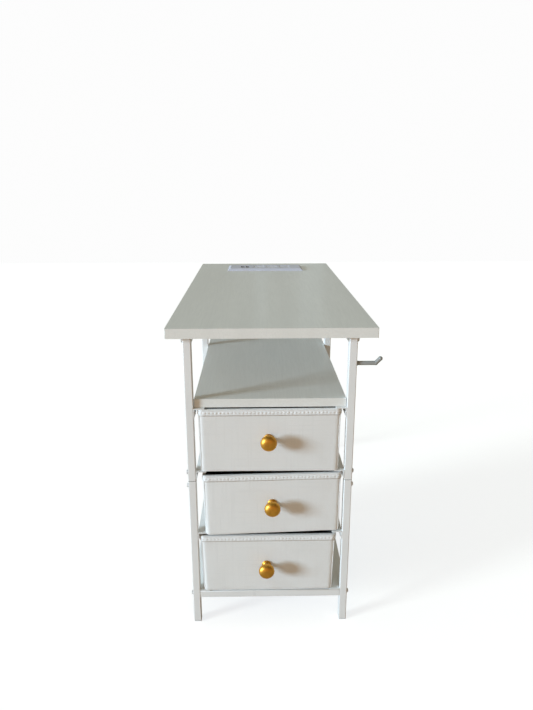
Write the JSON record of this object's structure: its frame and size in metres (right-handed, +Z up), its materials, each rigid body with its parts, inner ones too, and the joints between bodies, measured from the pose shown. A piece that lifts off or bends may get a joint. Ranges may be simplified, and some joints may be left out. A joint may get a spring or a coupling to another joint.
{
  "type": "sewing table",
  "caption": "Slim sewing table: laminate top with a power unit at one end, steel tube frame, and a tower of pull-out fabric drawers with round knobs under a shelf.",
  "frame": {"origin": "middle of the whole outline at floor level, knobs and side hook included", "axes": "+Z up; +Y along the table from the drawer end to the far end; +X to the right of a person facing the drawers"},
  "size_m": [0.4678, 0.998, 0.757],
  "materials": {
    "frame_paint": "satin white powder coat",
    "laminate": "matt white laminate with a faint straight grain on board",
    "bezel_plastic": "pale lavender grey moulded plastic",
    "housing_plastic": "white moulded plastic",
    "outlet_plastic": "pale grey moulded plastic",
    "dark_plastic": "black moulded plastic",
    "foot_plastic": "white moulded plastic",
    "hook_metal": "satin white powder coat",
    "drawer_fabric": "off-white woven-look cloth with stitched hems",
    "fibre_board": "plain fibre board",
    "knob_gold": "brushed gold",
    "bare_steel": "zinc-plated"
  },
  "bodies": {
    "root": {"table_top": "laminate", "power_bezel": "bezel_plastic", "power_housing": "housing_plastic", "power_outlets": "outlet_plastic", "usb_ports": "dark_plastic", "terminal_block": "dark_plastic", "cable_gland": "dark_plastic", "power_unit_clips": "bare_steel", "left_top_rail": "frame_paint", "right_top_rail": "frame_paint", "tower_top_rails": "frame_paint", "bottom_side_rails": "frame_paint", "front_bottom_crossbar": "frame_paint", "rear_bottom_crossbar": "frame_paint", "rear_top_crossbar": "frame_paint", "far_top_crossbar": "frame_paint", "far_bottom_crossbar": "frame_paint", "leg_joint_sleeves": "dark_plastic", "rail_connectors": "bare_steel", "crossbar_end_plugs": "dark_plastic", "foot_caps": "foot_plastic", "joint_bolts": "bare_steel", "crossbar_bolts": "bare_steel", "rail_bolts": "bare_steel", "frame_screws": "bare_steel", "top_screws": "bare_steel", "shelf_board": "laminate", "shelf_angles": "frame_paint", "upper_runners": "frame_paint", "middle_runners": "frame_paint", "lower_runners": "frame_paint", "side_hook": "hook_metal", "hook_nut": "bare_steel", "front_left_post_upper": "frame_paint", "front_left_post_lower": "frame_paint", "front_right_post_upper": "frame_paint", "front_right_post_lower": "frame_paint", "rear_left_post_upper": "frame_paint", "rear_left_post_lower": "frame_paint", "rear_right_post_upper": "frame_paint", "rear_right_post_lower": "frame_paint", "far_left_post_upper": "frame_paint", "far_left_post_lower": "frame_paint", "far_right_post_upper": "frame_paint", "far_right_post_lower": "frame_paint"},
    "upper_drawer": {"upper_drawer_shell": "drawer_fabric", "upper_drawer_stiffeners": "fibre_board", "upper_drawer_base_board": "fibre_board", "upper_drawer_knob": "knob_gold", "upper_drawer_knob_screw": "bare_steel"},
    "middle_drawer": {"middle_drawer_shell": "drawer_fabric", "middle_drawer_stiffeners": "fibre_board", "middle_drawer_base_board": "fibre_board", "middle_drawer_knob": "knob_gold", "middle_drawer_knob_screw": "bare_steel"},
    "lower_drawer": {"lower_drawer_shell": "drawer_fabric", "lower_drawer_stiffeners": "fibre_board", "lower_drawer_base_board": "fibre_board", "lower_drawer_knob": "knob_gold", "lower_drawer_knob_screw": "bare_steel"}
  },
  "joints": [
    {"name": "upper_drawer_slide", "type": "slide", "parent": "root", "child": "upper_drawer", "axis": [0, -1, 0], "range_m": [0, 0.3]},
    {"name": "middle_drawer_slide", "type": "slide", "parent": "root", "child": "middle_drawer", "axis": [0, -1, 0], "range_m": [0, 0.3]},
    {"name": "lower_drawer_slide", "type": "slide", "parent": "root", "child": "lower_drawer", "axis": [0, -1, 0], "range_m": [0, 0.3]}
  ]
}
